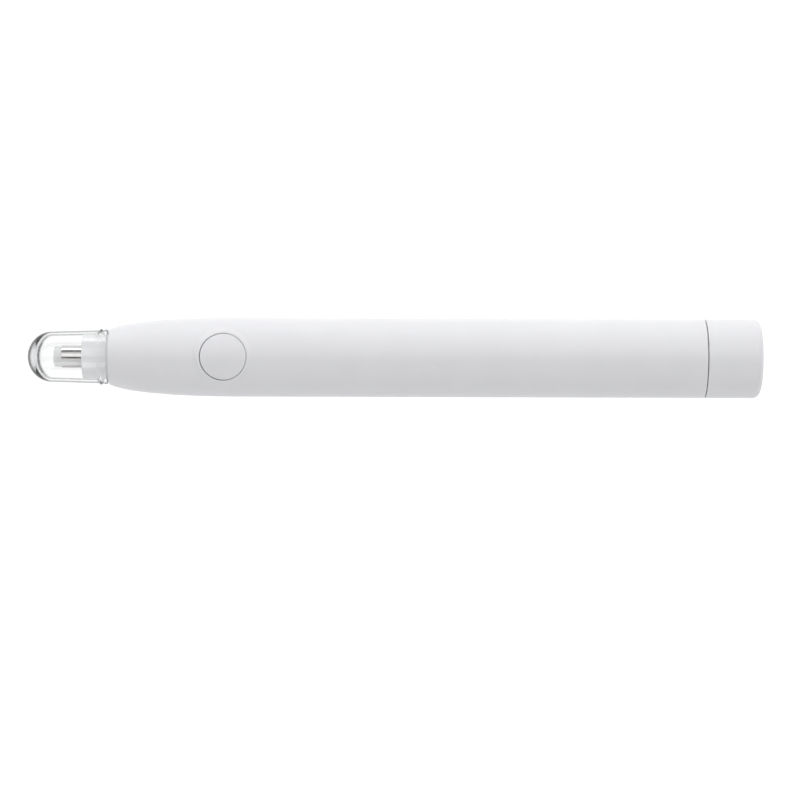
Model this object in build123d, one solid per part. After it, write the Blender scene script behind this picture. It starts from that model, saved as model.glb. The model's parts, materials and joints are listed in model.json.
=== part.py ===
from build123d import *
import os

# Electric eraser: a pen-shaped, battery-driven rotary eraser, laid on its side with its button up.
#
# A one-piece barrel carries a nose collar, a motor frame and a battery tube, all slid in from the rear.
# The motor turns a slotted metal chuck that grips a stick of eraser. A clear domed cap pushes over the
# nose, and a rear cap with two bayonet pegs closes the battery bay on a helical track.
#
# Everything is modelled about the tool's axis. x is the distance behind the barrel's front edge, so what
# stands ahead of the barrel has a negative x. z points up through the button. place() then moves each
# piece to the part's own frame, whose origin lies on the table under the middle of the tool's length.

# ------------------------------------------------------------------ driving dimensions, in mm
# Casing
BARREL_RADIUS = 9.6
BARREL_LENGTH = 144.9
WALL = 1.5
NOSE_DROP = 2.85          # how much smaller the barrel's radius is at its front edge
TAPER_LENGTH = 30.0
NOSE_ROUND = 0.35
REST_FLAT = 1.1           # half the width of a shallow flat, added so that the round barrel lies still
REAR_CAP_LENGTH = 13.3
REAR_CAP_ROUND = 1.8      # round between the rear cap's side and its flat end
SEAM = 0.2                # open joint line between barrel and rear cap
SEAM_ROUND = 0.15
NOTCH_ANGLE = -21.0       # where the index notch at the seam faces, from straight up towards -y
NOTCH_WIDTH = 0.5
NOTCH_LENGTH = 0.35
NOTCH_DEPTH = 0.3

# Clear cap
CAP_REACH = 20.0          # how far the dome stands ahead of the barrel
CAP_MOUTH = -0.35
CAP_DOME_X = -14.0        # where the dome's curve ends
CAP_CROWN = 1.7           # thickness at the dome's tip
CAP_DOME_RADIUS = 6.15
CAP_MOUTH_RADIUS = 6.55
CAP_DOME_BORE = 5.45
CAP_MOUTH_BORE = 5.8
RIM_RADIUS = 6.84
RIM_WIDTH = 2.15
RIM_ROUND = 0.2

# Nose collar and bush
COLLAR_RADIUS = 5.5
COLLAR_REACH = 6.35       # how far the collar stands ahead of the barrel
COLLAR_MOUTH = 3.0
COLLAR_BORE = 4.0
COLLAR_LIP = 1.2          # thickness of the collar's front wall
COLLAR_STEP = 5.05        # where the collar widens to its seat inside the barrel
COLLAR_TAIL = 18.3
SEAT_RADIUS = 6.1
SEAT_BORE = 4.6
SNAP_X = -2.6             # the ridge that holds the clear cap
SNAP_HALF_WIDTH = 0.6
SNAP_HEIGHT = 0.12
BUSH_FRONT = -5.1
BUSH_REAR = 1.2

# Eraser and chuck
ERASER_RADIUS = 2.5
ERASER_LENGTH = 25.0
ERASER_TIP = -13.5
CHUCK_TIP = -11.55
CHUCK_TAIL = 18.0
CHUCK_RADIUS = 2.75
CHUCK_BORE = 2.54
JAW_SLOT = 2.25
JAW_SLOT_END = 3.0
JAW_SLOT_ANGLE = 41.0     # where the slots face at rest, from straight up towards -y
JAW_CORNER = 0.5
HUB_FRONT = 13.0
HUB_REAR = 34.8
HUB_RADIUS = 2.9
HUB_FLANGE_RADIUS = 3.2
HUB_FLANGE_REAR = 19.4
HUB_BORE_FRONT = 20.2

# Button
BUTTON_X = 28.2
BUTTON_RADIUS = 5.6
BUTTON_ROUND = 0.25
BUTTON_GAP = 0.15
BEZEL_RADIUS = 6.55
BEZEL_HEIGHT = 0.16
TAB_REACH = 1.3           # how far the retaining tabs stand out beyond the button
TAB_HALF_WIDTH = 2.0
STEM_RADIUS = 1.6
PLUNGER_TOP = 6.8

# Motor
MOTOR_FRONT = 39.0
MOTOR_REAR = 54.5         # where the can meets the end bell
BELL_REAR = 56.3
MOTOR_RADIUS = 7.75
MOTOR_FLAT = 6.0          # half the distance across the can's flats
CAN_WALL = 0.5
SHAFT_FRONT = 20.3
SHAFT_REAR = 57.6
SHAFT_RADIUS = 1.0
BEARING_RADIUS = 1.88
BEARING_BORE = 1.9        # the seat that each bearing sits in
BOSS_RADIUS = 3.0
CORE_FRONT = 43.0
CORE_REAR = 50.0
CORE_RADIUS = 5.2
SHOE_THICK = 1.0
POLE_HALF_WIDTH = 1.0
POLES = (0, 120, 240)
POLE_GAPS = (60, 180, 300)
COMMUTATOR_FRONT = 51.6
COMMUTATOR_REAR = 53.9
COMMUTATOR_RADIUS = 1.9
MAGNET_BORE = 5.55
MAGNET_HALF_HEIGHT = 4.4
TERMINAL_Y = 4.4
TERMINAL_THICK = 0.35
TERMINAL_REAR = 58.6
BRUSH_THICK = 0.16
BRUSH_FRONT = 52.35
BRUSH_REAR = 53.45
BRUSH_TOP = 4.2
MOTOR_SCREW_Y = 4.2
MOTOR_SCREW_RADIUS = 0.83
SCREW_RECESS = 0.7        # depth of the cross in a screw's head

# Motor frame
FRAME_FRONT = 18.5
FRAME_RADIUS = 7.85
TROUGH_REAR = 37.0
TROUGH_RADIUS = 7.5
TROUGH_BORE = 6.3
BULKHEAD_FRONT = 36.5
REAR_BULKHEAD_FRONT = 59.6
BULKHEAD_REAR = 61.0      # rear face of the motor frame, where the positive contact lies
SADDLE_REAR = 60.0
UPPER_SADDLE_REAR = 56.4
UPPER_SADDLE_HALF_WIDTH = 2.1

# Circuit board and switch
BOARD_FRONT = 19.5
BOARD_REAR = 36.3
BOARD_BOTTOM = 3.9
BOARD_TOP = 4.7
BOARD_HALF_WIDTH = 5.9
BOARD_SCREW_X = 21.2
BOARD_SCREW_Y = 4.2
BOARD_SCREW_RADIUS = 0.6
SWITCH_HALF = 2.6
SWITCH_CORNER = 0.4
SWITCH_TOP = 6.0
SWITCH_COVER_TOP = 6.2
SWITCH_WELL_RADIUS = 2.05
SWITCH_FLOOR = 5.0
PLUNGER_RADIUS = 1.25
PLUNGER_FLANGE = 1.7
DOME_RIM = 1.9
DOME_RISE = 0.34
DOME_THICK = 0.08

# Leads
WIRE_RADIUS = 0.35
WIRE_BEND = 0.9
LEAD_Z = 6.45             # height at which the leads cross the motor's flat
PAD_X = 35.0              # where the leads are soldered to the board
OUTER_LEAD_Y = 3.75
INNER_LEAD_Y = 2.75

# Battery bay
CELL_RADIUS = 5.25
CELL_LENGTH = 44.5
CELL_FRONT = 61.45
CELL_GAP = 0.05
CELL_BUTTON_RADIUS = 1.9
CELL_BUTTON_HEIGHT = 0.9
TUBE_FRONT = 61.4
TUBE_REAR = 140.0
TUBE_INNER = 5.5
TUBE_OUTER = 6.5
RIB_HALF_WIDTH = 0.6
CONTACT_THICK = 0.3
CONTACT_HALF_WIDTH = 4.4
STRIP_HALF_WIDTH = 1.25
STRIP_BOTTOM = 6.55
STRIP_TOP = 6.85
CARRIER_FRONT = 155.2
TONGUE_FRONT = 137.4
TONGUE_HALF_WIDTH = 1.5
TONGUE_INNER = 5.75
TONGUE_OUTER = 6.4
REAR_PLATE_RADIUS = 5.6
WIPER_FRONT = 133.0
SPRING_RADIUS = 3.2
SPRING_WIRE = 0.25
SPRING_TURNS = 4

# Rear closure
SPIGOT_RADIUS = 7.95
SPIGOT_BORE = 6.8
SPIGOT_LENGTH = 7.0
PEG_RADIUS = 0.9
PEG_X = 140.9
PEG_TIP = 8.5
TRACK_DEPTH = 8.7
TRACK_HALF_WIDTH = 1.05
TRACK_LEAD = 16.0         # axial travel of the rear cap in one full turn
TRACK_RISE = 5.6

# Fits
FIT = 0.05                # general clearance between pieces that only rest against each other
CLOSE = 0.01              # clearance between pieces that are fixed together
CLEAR = 1.0               # how far a cutter runs past what it cuts

# ------------------------------------------------------------------ values that follow
BORE = BARREL_RADIUS - WALL
NOSE_RADIUS = BARREL_RADIUS - NOSE_DROP
AXIS_HEIGHT = (BARREL_RADIUS ** 2 - REST_FLAT ** 2) ** 0.5
CAP_SEAT = BARREL_LENGTH + SEAM
REAR_FACE = CAP_SEAT + REAR_CAP_LENGTH
MIDDLE = (REAR_FACE - CAP_REACH) / 2
SPIGOT_FRONT = BARREL_LENGTH - SPIGOT_LENGTH
CAN_BORE = MOTOR_RADIUS - CAN_WALL
CELL_SPLIT = CELL_FRONT + CELL_LENGTH
CELLS_REAR = CELL_SPLIT + CELL_GAP + CELL_LENGTH
UP_FROM_BASE = (Align.CENTER, Align.CENTER, Align.MIN)
LYING = Rot(0, 90, 0)     # turns a shape's own z axis to point along the tool, to the rear


# ------------------------------------------------------------------ shapes used throughout
def rod(x0, x1, radius):
    """A cylinder on the tool's axis."""
    return Pos(x0, 0, 0) * LYING * Cylinder(radius, x1 - x0, align=UP_FROM_BASE)


def sleeve(x0, x1, outer, inner):
    """A tube on the tool's axis."""
    return rod(x0, x1, outer) - rod(x0, x1, inner)


def block(x0, x1, y0, y1, z0, z1):
    """A box between two corners."""
    return Pos((x0 + x1) / 2, (y0 + y1) / 2, (z0 + z1) / 2) * Box(x1 - x0, y1 - y0, z1 - z0)


def bar(x0, x1, half_width, z0, z1):
    """A box that lies evenly on both sides of the upright plane through the axis."""
    return block(x0, x1, -half_width, half_width, z0, z1)


def post(x, y, z0, z1, radius):
    """An upright cylinder."""
    return Pos(x, y, z0) * Cylinder(radius, z1 - z0, align=UP_FROM_BASE)


def at(x, y, shape):
    """A shape shifted along and across the tool."""
    return Pos(x, y, 0) * shape


def lengthwise(x0, x1, y, z, radius):
    """A cylinder beside the tool's axis and parallel to it."""
    return Pos(0, y, z) * rod(x0, x1, radius)


def turned(outline, rounds=()):
    """A solid of revolution from an outline of (x, radius), with rounds as ((x, radius), size) pairs."""
    solid = revolve(Plane.XZ * make_face(outline), Axis.X)
    for (x, radius), size in rounds:
        circles = solid.edges().filter_by(GeomType.CIRCLE)
        rims = [e for e in circles if abs(e.radius - radius) < 0.001 and abs(e.arc_center.X - x) < 0.001]
        solid = fillet(rims, size)
    return solid


def lathe(*points, rounds=()):
    """A solid of revolution from the corners (x, radius) of its outline."""
    return turned(Polyline(*points, close=True).edges(), rounds)


def about_axis(angle, shape):
    """A shape turned about the tool's axis, by the right-hand rule about +x."""
    return Rot(angle, 0, 0) * shape


def around(angles, shape):
    """Copies of a shape, turned about the tool's axis to each angle."""
    return [about_axis(angle, shape) for angle in angles]


def mirrored(shape):
    """A shape and its mirror image on the other side of the upright plane through the axis."""
    return [shape, mirror(shape, Plane.XZ)]


def fused(shapes):
    """One solid from several that touch."""
    whole = shapes[0]
    for shape in shapes[1:]:
        whole = whole + shape
    return whole


def without(shape, cutters):
    """A shape with each cutter taken out of it."""
    for cutter in cutters:
        shape = shape - cutter
    return shape


def wire(*points):
    """A round lead along straight runs joined by arcs."""
    path = FilletPolyline(*points, radius=WIRE_BEND)
    return sweep(Plane(origin=path @ 0, z_dir=path % 0) * Circle(WIRE_RADIUS), path=path)


def coil(section, pitch, height, radius):
    """A section swept up a helix about z."""
    helix = Helix(pitch=pitch, height=height, radius=radius)
    start = Plane(origin=helix @ 0, x_dir=(1, 0, 0), z_dir=helix % 0)
    return sweep(start * section, path=helix, is_frenet=True)


# ------------------------------------------------------------------ casing
def taper_line(drop):
    """The barrel's tapering outline, moved in by drop, running on straight to its rear end."""
    top = BARREL_RADIUS - drop
    edge = top - NOSE_DROP
    curve = Bezier((0, edge), (5.4, edge + 2.6), (24.0, top), (TAPER_LENGTH, top))
    closing = Polyline((TAPER_LENGTH, top), (BARREL_LENGTH, top), (BARREL_LENGTH, 0), (0, 0), (0, edge))
    return curve.edges() + closing.edges()


def in_track_frame(shape):
    """Moves a shape that was built about z, at height 0, to the bayonet pegs' station."""
    return Pos(PEG_X, 0, 0) * LYING * shape


def bayonet_track():
    """The cutter for one helical peg track, from the peg's seat out through the barrel's end."""
    overcut = 0.2
    depth = TRACK_DEPTH - SPIGOT_RADIUS + overcut
    middle = TRACK_DEPTH - depth / 2
    groove = coil(Rectangle(depth, 2 * TRACK_HALF_WIDTH), TRACK_LEAD, TRACK_RISE, middle)
    seat = Pos(middle - depth / 2, 0, 0) * LYING * Cylinder(TRACK_HALF_WIDTH, depth, align=UP_FROM_BASE)
    return in_track_frame(groove + seat)


def rest_flat():
    """The cutter that leaves a narrow flat along the underside of the barrel and the rear cap."""
    return bar(-CLEAR, REAR_FACE + CLEAR, BARREL_RADIUS, -BARREL_RADIUS - CLEAR, -AXIS_HEIGHT)


def button_ring():
    """The soft raised ring round the button, which follows the barrel's curve."""
    reach = BEZEL_RADIUS + CLEAR
    ring = rod(BUTTON_X - reach, BUTTON_X + reach, BARREL_RADIUS + BEZEL_HEIGHT)
    ring = ring & post(BUTTON_X, 0, 0, BARREL_RADIUS + CLEAR, BEZEL_RADIUS)
    return fillet(ring.faces().sort_by(Axis.Z)[-1].edges(), BEZEL_HEIGHT * 0.9)


def barrel():
    floor = 5.0           # thickness of the nose behind its front edge
    shell = turned(
        taper_line(0), [((0, NOSE_RADIUS), NOSE_ROUND), ((BARREL_LENGTH, BARREL_RADIUS), SEAM_ROUND)]
    )
    cavity = turned(taper_line(WALL)) - rod(-CLEAR, floor, BARREL_RADIUS)
    collar_hole = rod(-CLEAR, floor + CLEAR, COLLAR_RADIUS + 3 * FIT)
    button_hole = post(BUTTON_X, 0, 0, BARREL_RADIUS + CLEAR, BUTTON_RADIUS + BUTTON_GAP)
    shell = without(shell + button_ring(), [cavity, collar_hole, button_hole])
    return without(shell, around((90, 270), bayonet_track()) + [rest_flat()])


def rear_cap():
    """The closure: a spigot with two pegs, and a stepped bore that the contact carrier turns in."""
    bottom = REAR_FACE - WALL
    groove_front = bottom - 2
    groove_radius = SPIGOT_BORE + 0.35
    shell = lathe(
        (SPIGOT_FRONT, SPIGOT_BORE), (SPIGOT_FRONT, SPIGOT_RADIUS), (CAP_SEAT, SPIGOT_RADIUS),
        (CAP_SEAT, BARREL_RADIUS), (REAR_FACE, BARREL_RADIUS), (REAR_FACE, 0), (bottom, 0),
        (bottom, groove_radius), (groove_front, groove_radius), (groove_front, SPIGOT_BORE),
        rounds=[
            ((REAR_FACE, BARREL_RADIUS), REAR_CAP_ROUND),
            ((CAP_SEAT, BARREL_RADIUS), SEAM_ROUND),
            ((SPIGOT_FRONT, SPIGOT_RADIUS), 0.4),
        ],
    )
    base = SPIGOT_RADIUS - 0.5
    peg = Pos(base, 0, 0) * LYING * Cylinder(PEG_RADIUS, PEG_TIP - base, align=UP_FROM_BASE)
    notch = bar(
        CAP_SEAT - CLEAR, CAP_SEAT + NOTCH_LENGTH, NOTCH_WIDTH / 2,
        BARREL_RADIUS - NOTCH_DEPTH, BARREL_RADIUS + CLEAR,
    )
    shell = without(shell, [about_axis(NOTCH_ANGLE, notch), rest_flat()])
    return fused([shell] + around((90, 270), in_track_frame(peg)))


def dome(apex, dome_radius, mouth_radius):
    """A solid with a half-elliptical front end, which then widens slightly towards the barrel."""
    pull = 0.5523         # handle length that makes a cubic curve follow a quarter ellipse
    shoulder = (CAP_DOME_X, dome_radius)
    nose = Bezier(
        (apex, 0), (apex, pull * dome_radius),
        (CAP_DOME_X + pull * (apex - CAP_DOME_X), dome_radius), shoulder,
    )
    sides = Polyline(shoulder, (0, mouth_radius), (0, 0), (apex, 0))
    return revolve(Plane.XZ * make_face(nose.edges() + sides.edges()), Axis.X)


def clear_cap():
    rim = rod(CAP_MOUTH - RIM_WIDTH, CAP_MOUTH, RIM_RADIUS)
    rim = fillet(rim.edges().filter_by(GeomType.CIRCLE), RIM_ROUND)
    outer = dome(-CAP_REACH, CAP_DOME_RADIUS, CAP_MOUTH_RADIUS) & rod(-CAP_REACH, CAP_MOUTH, RIM_RADIUS)
    return outer + rim - dome(CAP_CROWN - CAP_REACH, CAP_DOME_BORE, CAP_MOUTH_BORE)


def nose_collar():
    """A tube that guides the chuck, with a wider tail that seats inside the barrel's nose."""
    front = -COLLAR_REACH
    lip_rear = front + COLLAR_LIP
    bore_rear = BUSH_REAR + 0.1
    body = lathe(
        (front, COLLAR_MOUTH), (front, COLLAR_RADIUS), (COLLAR_STEP, COLLAR_RADIUS),
        (COLLAR_STEP, SEAT_RADIUS), (COLLAR_TAIL, SEAT_RADIUS), (COLLAR_TAIL, SEAT_BORE),
        (bore_rear, SEAT_BORE), (bore_rear, COLLAR_BORE), (lip_rear, COLLAR_BORE), (lip_rear, COLLAR_MOUTH),
        rounds=[
            ((front, COLLAR_RADIUS), 0.5),
            ((front, COLLAR_MOUTH), 0.25),
            ((COLLAR_STEP, SEAT_RADIUS), 0.3),
        ],
    )
    snap_front = SNAP_X - SNAP_HALF_WIDTH
    snap_rear = SNAP_X + SNAP_HALF_WIDTH
    foot = COLLAR_RADIUS - CLOSE
    root = COLLAR_RADIUS - 0.5
    crest = ThreePointArc((snap_front, foot), (SNAP_X, COLLAR_RADIUS + SNAP_HEIGHT), (snap_rear, foot))
    under = Polyline((snap_rear, foot), (snap_rear, root), (snap_front, root), (snap_front, foot))
    return body + turned(crest.edges() + under.edges())


def nose_bush():
    outer = COLLAR_BORE - 0.02
    inner = CHUCK_RADIUS + 0.03
    return lathe(
        (BUSH_FRONT, inner), (BUSH_FRONT, outer), (BUSH_REAR, outer), (BUSH_REAR, inner),
        rounds=[((BUSH_FRONT, outer), 0.3), ((BUSH_REAR, outer), 0.3)],
    )


def button():
    """A disc that follows the barrel's curve, with two retaining tabs and a stem over the switch."""
    reach = BUTTON_RADIUS + TAB_REACH
    boss_reach = BUTTON_RADIUS - 1.6
    skin = sleeve(BUTTON_X - reach, BUTTON_X + reach, BARREL_RADIUS, BORE - 0.2)
    disc = post(BUTTON_X, 0, BOARD_TOP, BARREL_RADIUS + CLEAR, BUTTON_RADIUS) & skin
    disc = fillet(disc.faces().sort_by(Axis.Z)[-1].outer_wire().edges(), BUTTON_ROUND)
    tabs = bar(BUTTON_X - reach, BUTTON_X + reach, TAB_HALF_WIDTH, BORE - 1.2, BORE - 0.6)
    boss = bar(BUTTON_X - boss_reach, BUTTON_X + boss_reach, TAB_HALF_WIDTH, BORE - 0.8, BORE)
    stem = post(BUTTON_X, 0, PLUNGER_TOP + 0.02, BORE, STEM_RADIUS)
    return fused([disc, boss, tabs, stem])


# ------------------------------------------------------------------ eraser, chuck and rotor
def eraser_refill():
    tail = ERASER_TIP + ERASER_LENGTH
    return lathe(
        (ERASER_TIP, 0), (ERASER_TIP, ERASER_RADIUS), (tail, ERASER_RADIUS), (tail, 0),
        rounds=[((ERASER_TIP, ERASER_RADIUS), 0.3), ((tail, ERASER_RADIUS), 0.2)],
    )


def chuck():
    """A thin drawn tube, slotted from its tip into two springy jaws with rounded corners."""
    tube = lathe(
        (CHUCK_TIP, CHUCK_BORE), (CHUCK_TIP, CHUCK_RADIUS),
        (CHUCK_TAIL, CHUCK_RADIUS), (CHUCK_TAIL, CHUCK_BORE),
        rounds=[((CHUCK_TIP, CHUCK_RADIUS), 0.12)],
    )
    half = JAW_SLOT / 2
    far = CHUCK_RADIUS + CLEAR
    slot = bar(CHUCK_TIP, JAW_SLOT_END, half, -far, far) + post(JAW_SLOT_END, 0, -far, far, half)
    mouth = bar(CHUCK_TIP - CLEAR, CHUCK_TIP + JAW_CORNER, half + JAW_CORNER, -far, far)
    for y in (-half - JAW_CORNER, half + JAW_CORNER):
        mouth = mouth - post(CHUCK_TIP + JAW_CORNER, y, -far - CLEAR, far + CLEAR, JAW_CORNER)
    return about_axis(JAW_SLOT_ANGLE, tube - slot - mouth)


def chuck_hub():
    """A turned sleeve that carries the chuck's tail and grips the motor shaft."""
    plug = CHUCK_BORE - CLOSE
    flange_front = CHUCK_TAIL + 0.02
    return lathe(
        (HUB_FRONT, 0), (HUB_FRONT, plug), (flange_front, plug), (flange_front, HUB_FLANGE_RADIUS),
        (HUB_FLANGE_REAR, HUB_FLANGE_RADIUS), (HUB_FLANGE_REAR, HUB_RADIUS), (HUB_REAR, HUB_RADIUS),
        (HUB_REAR, SHAFT_RADIUS), (HUB_BORE_FRONT, SHAFT_RADIUS), (HUB_BORE_FRONT, 0),
        rounds=[((HUB_FRONT, plug), 0.3), ((HUB_REAR, HUB_RADIUS), 0.3)],
    )


def motor_shaft():
    return rod(SHAFT_FRONT, SHAFT_REAR, SHAFT_RADIUS - CLOSE / 2)


def rotor_core():
    """A three-pole armature: hub, necks and curved pole shoes."""
    far = CORE_RADIUS + CLEAR
    shoes = sleeve(CORE_FRONT, CORE_REAR, CORE_RADIUS, CORE_RADIUS - SHOE_THICK)
    shoes = without(shoes, around(POLE_GAPS, bar(CORE_FRONT - CLEAR, CORE_REAR + CLEAR, 0.45, 0, far)))
    necks = around(POLES, bar(CORE_FRONT, CORE_REAR, POLE_HALF_WIDTH, 0, CORE_RADIUS - 0.7))
    hub = rod(CORE_FRONT, CORE_REAR, 1.9)
    return fused([hub] + necks + [shoes]) - rod(CORE_FRONT - CLEAR, CORE_REAR + CLEAR, SHAFT_RADIUS)


def rotor_windings():
    """Three coils, one round each neck of the armature."""
    turns_thick = 1.0
    inner_half = POLE_HALF_WIDTH + FIT
    outer_half = inner_half + 0.9
    bottom = 2.1
    top = 4.1
    winding = bar(CORE_FRONT - turns_thick, CORE_REAR + turns_thick, outer_half, bottom, top)
    winding = fillet(winding.edges().filter_by(Axis.Z), 0.4)
    winding = winding & rod(CORE_FRONT - 2, CORE_REAR + 2, top + FIT)
    winding = winding - bar(CORE_FRONT - FIT, CORE_REAR + FIT, inner_half, bottom - 0.1, top + 0.1)
    return around(POLES, winding)


def commutator_core():
    return sleeve(COMMUTATOR_FRONT - 0.2, COMMUTATOR_REAR + 0.1, 1.4, SHAFT_RADIUS)


def commutator_segments():
    """Three copper segments on an insulating sleeve."""
    ring = sleeve(COMMUTATOR_FRONT, COMMUTATOR_REAR, COMMUTATOR_RADIUS, 1.42)
    gap = bar(COMMUTATOR_FRONT - CLEAR, COMMUTATOR_REAR + CLEAR, 0.12, 0, COMMUTATOR_RADIUS + CLEAR)
    return without(ring, around(POLES, gap)).solids()


# ------------------------------------------------------------------ motor
def flatted(x0, x1, radius, flat):
    """A rod with flats above and below."""
    return rod(x0, x1, radius) & bar(x0, x1, radius, -flat, flat)


def motor_can():
    front_wall = MOTOR_FRONT + 0.6
    can = flatted(MOTOR_FRONT, MOTOR_REAR, MOTOR_RADIUS, MOTOR_FLAT)
    can = can - flatted(front_wall, MOTOR_REAR + CLEAR, CAN_BORE, MOTOR_FLAT - CAN_WALL)
    can = can + rod(MOTOR_FRONT - 1.6, MOTOR_FRONT + 0.3, BOSS_RADIUS)
    can = can - rod(MOTOR_FRONT - 2, MOTOR_FRONT + 2, BEARING_BORE)
    hole_radius = MOTOR_SCREW_RADIUS + 0.02
    screw_hole = lengthwise(MOTOR_FRONT - CLEAR, front_wall + CLEAR, MOTOR_SCREW_Y, 0, hole_radius)
    return without(can, mirrored(screw_hole))


def motor_magnets():
    ring = sleeve(41.0, 52.0, CAN_BORE - FIT, MAGNET_BORE)
    return (ring & bar(41.0, 52.0, MOTOR_RADIUS, -MAGNET_HALF_HEIGHT, MAGNET_HALF_HEIGHT)).solids()


def motor_bearings():
    bore = SHAFT_RADIUS + 0.02
    return [sleeve(37.5, 39.5, BEARING_RADIUS, bore), sleeve(55.6, 57.4, BEARING_RADIUS, bore)]


def motor_terminals():
    """Two blades through the end bell, each with a riser that carries its brush."""
    front = BRUSH_FRONT - FIT
    outer = TERMINAL_Y + TERMINAL_THICK
    blade = block(front, TERMINAL_REAR, TERMINAL_Y, outer, -0.8, 0.8)
    riser = block(front, BRUSH_REAR + FIT, TERMINAL_Y, outer, -0.8, BRUSH_TOP)
    return mirrored(blade + riser)


def motor_brushes():
    """Two springy leaves that wipe the commutator, each carried by its terminal."""
    inner = COMMUTATOR_RADIUS + 0.04
    leaf = block(BRUSH_FRONT, BRUSH_REAR, inner, inner + BRUSH_THICK, -3.0, BRUSH_TOP)
    link = block(BRUSH_FRONT, BRUSH_REAR, inner, TERMINAL_Y - CLOSE, BRUSH_TOP - BRUSH_THICK, BRUSH_TOP)
    return mirrored(leaf + link)


def motor_end_bell():
    """The plastic cover of the can, with a bearing boss and a slot for each terminal."""
    boss_rear = BELL_REAR + 1.7
    register = flatted(MOTOR_REAR - 0.4, MOTOR_REAR + 0.5, CAN_BORE - FIT, MOTOR_FLAT - CAN_WALL - FIT)
    bell = flatted(MOTOR_REAR + 0.02, BELL_REAR, MOTOR_RADIUS, MOTOR_FLAT) + register
    bell = bell + rod(BELL_REAR - 0.3, boss_rear, 2.6) - rod(BELL_REAR - 0.8, boss_rear - 0.55, BEARING_BORE)
    bell = bell - rod(MOTOR_REAR - 1.5, boss_rear + CLEAR, SHAFT_RADIUS + 0.3)
    slot_inner = TERMINAL_Y + TERMINAL_THICK / 2 - 0.2
    slot = block(MOTOR_REAR - 1.5, boss_rear + CLEAR, slot_inner, slot_inner + 0.4, -0.82, 0.82)
    return without(bell, mirrored(slot))


def motor_screws():
    """Pan-head screws through the frame's bulkhead into the can."""
    head_front = BULKHEAD_FRONT - 1.2
    shank = lengthwise(BULKHEAD_FRONT, MOTOR_FRONT + 1.2, MOTOR_SCREW_Y, 0, MOTOR_SCREW_RADIUS)
    head = lengthwise(head_front, BULKHEAD_FRONT, MOTOR_SCREW_Y, 0, 1.45)
    wide = bar(head_front - CLEAR, head_front + SCREW_RECESS - 0.2, 1.0, -0.2, 0.2)
    tall = bar(head_front - CLEAR, head_front + SCREW_RECESS - 0.2, 0.2, -1.0, 1.0)
    return mirrored(shank + head - at(0, MOTOR_SCREW_Y, wide) - at(0, MOTOR_SCREW_Y, tall))


# ------------------------------------------------------------------ motor frame, board and switch
def motor_frame():
    """A trough under the board, a bulkhead at each end of the motor, and two saddles on its flats."""
    saddle_gap = MOTOR_FLAT + FIT
    saddle_front = BULKHEAD_FRONT + 1.5
    below_board = bar(FRAME_FRONT, TROUGH_REAR, BARREL_RADIUS, -BARREL_RADIUS, BOARD_BOTTOM)
    trough = sleeve(FRAME_FRONT, TROUGH_REAR, TROUGH_RADIUS, TROUGH_BORE) & below_board
    front_lip = sleeve(FRAME_FRONT, FRAME_FRONT + 0.8, TROUGH_RADIUS - 0.5, COLLAR_RADIUS) & below_board
    screw_boss = post(BOARD_SCREW_X, BOARD_SCREW_Y, -BORE, BOARD_BOTTOM, 1.1)
    screw_boss = screw_boss & rod(FRAME_FRONT, TROUGH_REAR, TROUGH_RADIUS - 0.4)
    bulkhead = rod(BULKHEAD_FRONT, MOTOR_FRONT - FIT, 7.7)
    rear_bulkhead = rod(REAR_BULKHEAD_FRONT, BULKHEAD_REAR, FRAME_RADIUS + FIT)
    lower_saddle = rod(saddle_front, SADDLE_REAR, FRAME_RADIUS)
    lower_saddle = lower_saddle & bar(saddle_front, SADDLE_REAR, BARREL_RADIUS, -BARREL_RADIUS, -saddle_gap)
    upper_saddle = rod(saddle_front, UPPER_SADDLE_REAR, FRAME_RADIUS)
    upper_saddle = upper_saddle & bar(
        saddle_front, UPPER_SADDLE_REAR, UPPER_SADDLE_HALF_WIDTH, saddle_gap, BARREL_RADIUS
    )
    along_motor = [bulkhead, rear_bulkhead, lower_saddle, upper_saddle]
    frame = fused([trough, front_lip] + along_motor + mirrored(screw_boss))
    past_front = BULKHEAD_FRONT - 0.5
    past_bulkhead = MOTOR_FRONT + CLEAR
    boss_hole = rod(past_front, past_bulkhead, BOSS_RADIUS + 0.08)
    board_screw_hole = post(BOARD_SCREW_X, BOARD_SCREW_Y, 0, BORE, BOARD_SCREW_RADIUS + 0.02)
    motor_screw_hole = lengthwise(past_front, past_bulkhead, MOTOR_SCREW_Y, 0, MOTOR_SCREW_RADIUS + 0.07)
    lead_notch = block(past_front, past_bulkhead, 2.2, 4.3, 5.9, BARREL_RADIUS)
    slot_front = REAR_BULKHEAD_FRONT - CLEAR
    slot_rear = BULKHEAD_REAR + CLEAR
    contact_slot = block(slot_front, slot_rear, 1.7, 3.8, 4.6, 5.2)
    strip_slot = bar(slot_front, slot_rear, STRIP_HALF_WIDTH + 0.2, 5.75, BARREL_RADIUS)
    pairs = mirrored(board_screw_hole) + mirrored(motor_screw_hole) + mirrored(lead_notch)
    return without(frame, [boss_hole, contact_slot, strip_slot] + pairs)


def switch_board():
    board = bar(BOARD_FRONT, BOARD_REAR, BOARD_HALF_WIDTH, BOARD_BOTTOM + 0.02, BOARD_TOP)
    board = fillet(board.edges().filter_by(Axis.Z), 0.6)
    screw_hole = post(BOARD_SCREW_X, BOARD_SCREW_Y, BOARD_BOTTOM - CLEAR, BOARD_TOP + CLEAR, 0.9)
    return without(board, mirrored(screw_hole))


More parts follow.
